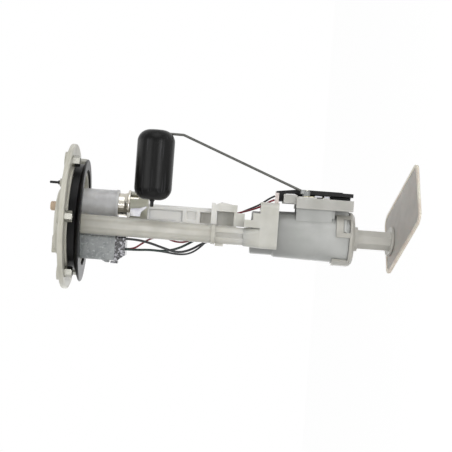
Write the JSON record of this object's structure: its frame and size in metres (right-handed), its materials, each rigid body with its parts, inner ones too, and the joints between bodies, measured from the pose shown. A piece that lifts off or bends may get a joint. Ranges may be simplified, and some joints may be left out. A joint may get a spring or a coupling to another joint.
{
  "type": "fuel pump",
  "caption": "In-tank electric fuel pump module hung from a round tank flange, with pressure regulator, float level sender and a flat inlet strainer.",
  "frame": {"origin": "centre of the flange's sealing underside", "axes": "+Z along the flange's axis, out of the tank; +X towards the level sender"},
  "size_m": [0.1299, 0.1193, 0.2884],
  "materials": {
    "flange_white": "moulded, satin",
    "carrier_white": "moulded, satin",
    "case_grey": "moulded, satin, slightly see-through",
    "connector_grey": "moulded, satin",
    "clip_white": "moulded, glossy",
    "port_beige": "moulded",
    "black_plastic": "moulded",
    "plug_black": "moulded",
    "seal_rubber": "moulded rubber",
    "zinc_steel": "zinc plated",
    "bright_can": "pressed, bright plated",
    "pump_steel": "drawn steel tube",
    "inner_plastic": "moulded, glass filled",
    "tinned_brass": "stamped, tinned",
    "iron_core": "stacked laminations",
    "ferrite": "sintered",
    "copper": "turned copper",
    "carbon": "pressed carbon",
    "spring_steel": "drawn wire",
    "sintered_bronze": "sintered",
    "mesh": "woven nylon mesh",
    "mesh_rim": "welded nylon",
    "float_foam": "closed-cell nitrile foam, skinned",
    "card": "fired ceramic",
    "lead_black": "insulated lead",
    "lead_green": "insulated lead",
    "lead_red": "insulated lead"
  },
  "bodies": {
    "module": {"flange_plate": "flange_white", "flange_collars": "zinc_steel", "tank_gasket": "seal_rubber", "outlet_nipple": "port_beige", "vent_nipple": "black_plastic", "connector_pins": "tinned_brass", "inner_connector": "connector_grey", "wire_plug": "plug_black", "plug_terminals": "tinned_brass", "regulator_holder": "carrier_white", "regulator_seat_can": "bright_can", "regulator_spring_can": "bright_can", "regulator_diaphragm": "seal_rubber", "regulator_spring": "spring_steel", "regulator_o_rings": "seal_rubber", "regulator_cover": "carrier_white", "regulator_clip": "clip_white", "fuel_tube": "carrier_white", "outlet_o_ring": "seal_rubber", "lower_carrier": "carrier_white", "pump_case": "case_grey", "pump_can": "pump_steel", "pump_top_cover": "inner_plastic", "pump_terminals": "tinned_brass", "check_spring": "spring_steel", "pump_chamber": "inner_plastic", "pump_inlet_cover": "inner_plastic", "pump_cushion": "seal_rubber", "upper_bush": "sintered_bronze", "lower_bush": "sintered_bronze", "motor_magnets": "ferrite", "brush_spring_left": "spring_steel", "brush_spring_right": "spring_steel", "end_cap": "carrier_white", "strainer_neck": "connector_grey", "strainer_rim": "mesh_rim", "strainer_mesh": "mesh", "sender_bracket": "carrier_white", "sender_frame": "black_plastic", "resistor_card": "card", "sender_contacts": "clip_white", "sender_terminal": "carrier_white", "pivot_pin": "zinc_steel", "lead_black": "lead_black", "lead_green": "lead_green", "lead_red": "lead_red", "lead_sender": "lead_black"},
    "float_swing": {"float": "float_foam", "float_arm": "pump_steel", "float_hub": "connector_grey", "wiper": "tinned_brass"},
    "rotor": {"rotor_shaft": "pump_steel", "armature": "iron_core", "commutator": "copper", "impeller": "inner_plastic"},
    "check_valve": {"check_valve": "inner_plastic"},
    "regulator_valve": {"regulator_valve": "zinc_steel"},
    "left_brush": {"brush_left": "carbon"},
    "right_brush": {"brush_right": "carbon"}
  },
  "joints": [
    {"name": "float_pivot", "type": "hinge", "parent": "module", "child": "float_swing", "pos_m": [0.0315, -0.012, -0.1845], "axis": [1, 0, 0], "range_deg": [0, 98]},
    {"name": "rotor_spin", "type": "hinge", "parent": "module", "child": "rotor", "pos_m": [-0.0022, 0, -0.185], "axis": [0, 0, 1], "continuous": true},
    {"name": "check_valve_lift", "type": "slide", "parent": "module", "child": "check_valve", "axis": [0, 0, 1], "range_m": [0, 0.0015], "stiffness_N_per_m": 60, "springref_m": -0.002, "deforming": ["check_spring"]},
    {"name": "regulator_valve_travel", "type": "slide", "parent": "module", "child": "regulator_valve", "axis": [0, 0, -1], "range_m": [0, 0.0012], "stiffness_N_per_m": 300, "springref_m": -0.004, "deforming": ["regulator_spring", "regulator_diaphragm"]},
    {"name": "left_brush_slide", "type": "slide", "parent": "module", "child": "left_brush", "axis": [0, 0, 1], "range_m": [0, 0.002], "stiffness_N_per_m": 80, "springref_m": -0.003, "deforming": ["brush_spring_left"]},
    {"name": "right_brush_slide", "type": "slide", "parent": "module", "child": "right_brush", "axis": [0, 0, 1], "range_m": [0, 0.002], "stiffness_N_per_m": 80, "springref_m": -0.003, "deforming": ["brush_spring_right"]}
  ]
}
